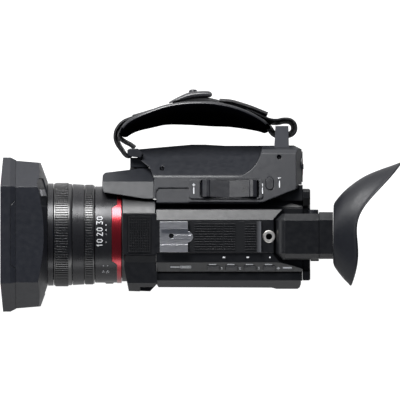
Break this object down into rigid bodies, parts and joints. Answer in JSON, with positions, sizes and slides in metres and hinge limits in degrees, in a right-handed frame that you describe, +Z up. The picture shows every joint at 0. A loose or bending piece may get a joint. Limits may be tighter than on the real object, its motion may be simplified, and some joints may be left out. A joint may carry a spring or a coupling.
{
  "type": "handheld camcorder",
  "caption": "Handheld camcorder with an octagonal lens hood, ringed zoom lens, fold-out monitor, tilting viewfinder with flared eyecup, and a side grip with a padded hand strap.",
  "frame": {"origin": "mouth of the tripod thread in the base, in the plane that the camcorder stands on", "axes": "+X from the lens hood to the eyecup, +Y towards the hand grip, +Z up; the optical axis is parallel to X, 56 mm above the base"},
  "size_m": [0.3341, 0.1862, 0.1261],
  "materials": {
    "body_plastic": "fine spark texture",
    "hood_plastic": "satin",
    "pod_plastic": "satin",
    "ring_metal": "black anodised, satin",
    "ring_rubber": "ribbed, semi-matte",
    "accent_red": "red anodised, gloss",
    "optical_glass": "coated",
    "screen_glass": "gloss",
    "cell_metal": "black, satin",
    "shoe_metal": "black anodised, brushed edges",
    "nickel": "turned, bright",
    "steel": "bright",
    "chassis_metal": "die cast",
    "circuit_board": "solder mask",
    "key_plastic": "fine satin",
    "record_red": "satin",
    "grille_plastic": "satin",
    "cup_rubber": "matte",
    "strap_leather": "fine grain",
    "strap_nylon": "tight weave",
    "battery_plastic": "fine spark texture"
  },
  "bodies": {
    "camera_body": {"front_ring": "ring_metal", "lens_core_tube": "ring_metal", "rear_barrel": "ring_metal", "accent_ring": "accent_red", "front_element": "optical_glass", "sensor_board": "circuit_board", "chassis_frame": "chassis_metal", "front_collar": "body_plastic", "left_casing": "body_plastic", "right_casing": "body_plastic", "top_casing": "body_plastic", "base_plate": "body_plastic", "rear_panel": "body_plastic", "side_pod": "pod_plastic", "grip_shell": "pod_plastic", "main_board": "circuit_board", "casing_screws": "steel", "tripod_plate": "chassis_metal", "microphone_grille": "grille_plastic", "shoe_plate": "shoe_metal", "ribbed_cover": "grille_plastic", "handle_thread": "nickel", "viewfinder_bracket": "chassis_metal", "viewfinder_pin": "steel", "monitor_hinge_block": "body_plastic", "monitor_hinge_pin": "steel", "rocker_bezel": "key_plastic", "strap_post": "key_plastic", "strap_webbing": "strap_nylon", "strap_pad": "strap_leather", "strap_buckle": "strap_leather"},
    "focus_ring": {"focus_ring": "ring_rubber"},
    "control_ring": {"control_ring": "ring_metal"},
    "zoom_group": {"zoom_cell": "cell_metal", "zoom_element": "optical_glass"},
    "filter_knob": {"filter_knob": "key_plastic"},
    "hood": {"hood_shell": "hood_plastic", "hood_rim": "hood_plastic"},
    "hood_release": {"hood_release_button": "key_plastic"},
    "hood_clamp": {"hood_clamp_knob": "key_plastic"},
    "viewfinder": {"viewfinder_housing": "body_plastic", "eyepiece_sleeve": "body_plastic", "eyecup": "cup_rubber", "eyepiece_lens": "optical_glass"},
    "diopter_wheel": {"diopter_wheel": "key_plastic"},
    "monitor": {"monitor_housing": "body_plastic", "monitor_screen": "screen_glass"},
    "deck_button_1": {"deck_button_1": "key_plastic"},
    "deck_button_2": {"deck_button_2": "key_plastic"},
    "deck_button_3": {"deck_button_3": "key_plastic"},
    "deck_button_4": {"deck_button_4": "key_plastic"},
    "grip_button": {"grip_button": "key_plastic"},
    "zoom_rocker": {"zoom_rocker": "key_plastic"},
    "record_button": {"record_button": "record_red"},
    "power_ring": {"power_ring": "key_plastic"},
    "battery": {"battery_pack": "battery_plastic"},
    "battery_latch": {"battery_latch": "key_plastic"},
    "card_door": {"card_door": "key_plastic"}
  },
  "joints": [
    {"name": "focus_ring_turn", "type": "hinge", "parent": "camera_body", "child": "focus_ring", "pos_m": [-0.115, 0, 0.056], "axis": [1, 0, 0], "continuous": true},
    {"name": "control_ring_turn", "type": "hinge", "parent": "camera_body", "child": "control_ring", "pos_m": [-0.093, 0, 0.056], "axis": [1, 0, 0], "continuous": true},
    {"name": "zoom_group_slide", "type": "slide", "parent": "camera_body", "child": "zoom_group", "axis": [1, 0, 0], "range_m": [-0.012, 0.022]},
    {"name": "filter_knob_turn", "type": "hinge", "parent": "camera_body", "child": "filter_knob", "pos_m": [-0.076, 0, 0.056], "axis": [1, 0, 0], "range_deg": [0, 32]},
    {"name": "hood_twist", "type": "hinge", "parent": "camera_body", "child": "hood", "pos_m": [-0.133, 0, 0.056], "axis": [1, 0, 0], "range_deg": [0, 35]},
    {"name": "hood_release_press", "type": "slide", "parent": "hood", "child": "hood_release", "axis": [-1, 0, 0], "range_m": [0, 0.0015], "stiffness_N_per_m": 900, "springref_m": -0.0005},
    {"name": "hood_clamp_turn", "type": "hinge", "parent": "hood", "child": "hood_clamp", "pos_m": [-0.127, -0.033, 0.017], "axis": [1, 0, 0], "continuous": true},
    {"name": "viewfinder_tilt", "type": "hinge", "parent": "camera_body", "child": "viewfinder", "pos_m": [0.0735, 0, 0.101], "axis": [0, -1, 0], "range_deg": [0, 60]},
    {"name": "diopter_turn", "type": "hinge", "parent": "viewfinder", "child": "diopter_wheel", "pos_m": [0.0951, 0.018, 0.099], "axis": [0, 1, 0], "range_deg": [-90, 90]},
    {"name": "monitor_swing", "type": "hinge", "parent": "camera_body", "child": "monitor", "pos_m": [-0.0425, -0.0375, 0.064], "axis": [0, 0, -1], "range_deg": [0, 90]},
    {"name": "rocker_tilt", "type": "hinge", "parent": "camera_body", "child": "zoom_rocker", "pos_m": [0.0248, 0.03748, 0.08668], "axis": [0, 0.9659, -0.2588], "range_deg": [-4, 4], "stiffness_Nm_per_rad": 0.25},
    {"name": "grip_button_press", "type": "slide", "parent": "camera_body", "child": "grip_button", "axis": [0, -0.2588, -0.9659], "range_m": [0, 0.0008], "stiffness_N_per_m": 900, "springref_m": -0.0005},
    {"name": "record_button_press", "type": "slide", "parent": "camera_body", "child": "record_button", "axis": [-1, 0, 0], "range_m": [0, 0.001], "stiffness_N_per_m": 900, "springref_m": -0.0005},
    {"name": "power_ring_turn", "type": "hinge", "parent": "camera_body", "child": "power_ring", "pos_m": [0.084, 0.057, 0.064], "axis": [1, 0, 0], "range_deg": [-25, 0]},
    {"name": "battery_pull", "type": "slide", "parent": "camera_body", "child": "battery", "axis": [1, 0, 0], "range_m": [0, 0.042]},
    {"name": "battery_latch_slide", "type": "slide", "parent": "camera_body", "child": "battery_latch", "axis": [0, 1, 0], "range_m": [0, 0.005], "stiffness_N_per_m": 300, "springref_m": -0.001},
    {"name": "card_door_swing", "type": "hinge", "parent": "camera_body", "child": "card_door", "pos_m": [0.0843, 0.0668, 0.03], "axis": [0, 0, 1], "range_deg": [0, 100]},
    {"name": "deck_button_1_press", "type": "slide", "parent": "camera_body", "child": "deck_button_1", "axis": [0, 0.3624, -0.932], "range_m": [0, 0.0005], "stiffness_N_per_m": 900, "springref_m": -0.0005},
    {"name": "deck_button_2_press", "type": "slide", "parent": "camera_body", "child": "deck_button_2", "axis": [0, 0.3624, -0.932], "range_m": [0, 0.0005], "stiffness_N_per_m": 900, "springref_m": -0.0005},
    {"name": "deck_button_3_press", "type": "slide", "parent": "camera_body", "child": "deck_button_3", "axis": [0, 0.3624, -0.932], "range_m": [0, 0.0005], "stiffness_N_per_m": 900, "springref_m": -0.0005},
    {"name": "deck_button_4_press", "type": "slide", "parent": "camera_body", "child": "deck_button_4", "axis": [0, 0.3624, -0.932], "range_m": [0, 0.0005], "stiffness_N_per_m": 900, "springref_m": -0.0005}
  ]
}
